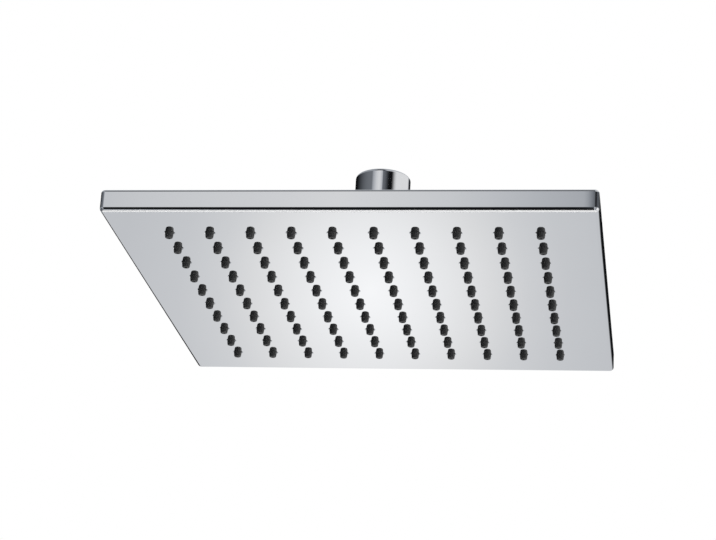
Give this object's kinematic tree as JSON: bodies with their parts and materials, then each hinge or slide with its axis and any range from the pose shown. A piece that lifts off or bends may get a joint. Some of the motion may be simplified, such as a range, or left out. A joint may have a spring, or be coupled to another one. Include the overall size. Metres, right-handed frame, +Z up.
{
  "type": "rain shower head",
  "caption": "Slim square rain shower head: a chrome plate with a grid of dark rubber nozzles under it and a ball-swivel collar with a pipe-thread inlet on its back.",
  "frame": {"origin": "centre of the inlet mouth, at the top of the collar", "axes": "+Z up out of the inlet mouth, the spray face looks to -Z, +X and +Y along the sides of the square plate"},
  "size_m": [0.2, 0.2, 0.0589],
  "materials": {
    "chrome": "polished plating",
    "nozzle_rubber": "matte silicone",
    "seal_rubber": "matte",
    "inner_plastic": "moulded, unplated",
    "white_plastic": "moulded, slightly waxy"
  },
  "bodies": {
    "connector": {"ball_connector": "chrome", "inlet_washer": "seal_rubber", "filter_screen": "white_plastic", "flow_restrictor": "white_plastic", "restrictor_ring": "seal_rubber"},
    "lower_seal": {"lower_ball_seal": "seal_rubber"},
    "upper_seat": {"upper_ball_seat": "white_plastic"},
    "head": {"swivel_nut": "chrome", "back_cover": "chrome", "rim_seal": "seal_rubber", "clamp_plate": "inner_plastic", "nozzle_mat": "nozzle_rubber", "face_shell": "chrome"}
  },
  "joints": [
    {"name": "spin", "type": "hinge", "parent": "connector", "child": "lower_seal", "pos_m": [0, 0, -0.03205], "axis": [0, 0, 1], "continuous": true},
    {"name": "tilt_front_back", "type": "hinge", "parent": "lower_seal", "child": "upper_seat", "pos_m": [0, 0, -0.03205], "axis": [1, 0, 0], "range_deg": [-15, 15]},
    {"name": "tilt_side", "type": "hinge", "parent": "upper_seat", "child": "head", "pos_m": [0, 0, -0.03205], "axis": [0, 1, 0], "range_deg": [-15, 15]}
  ]
}
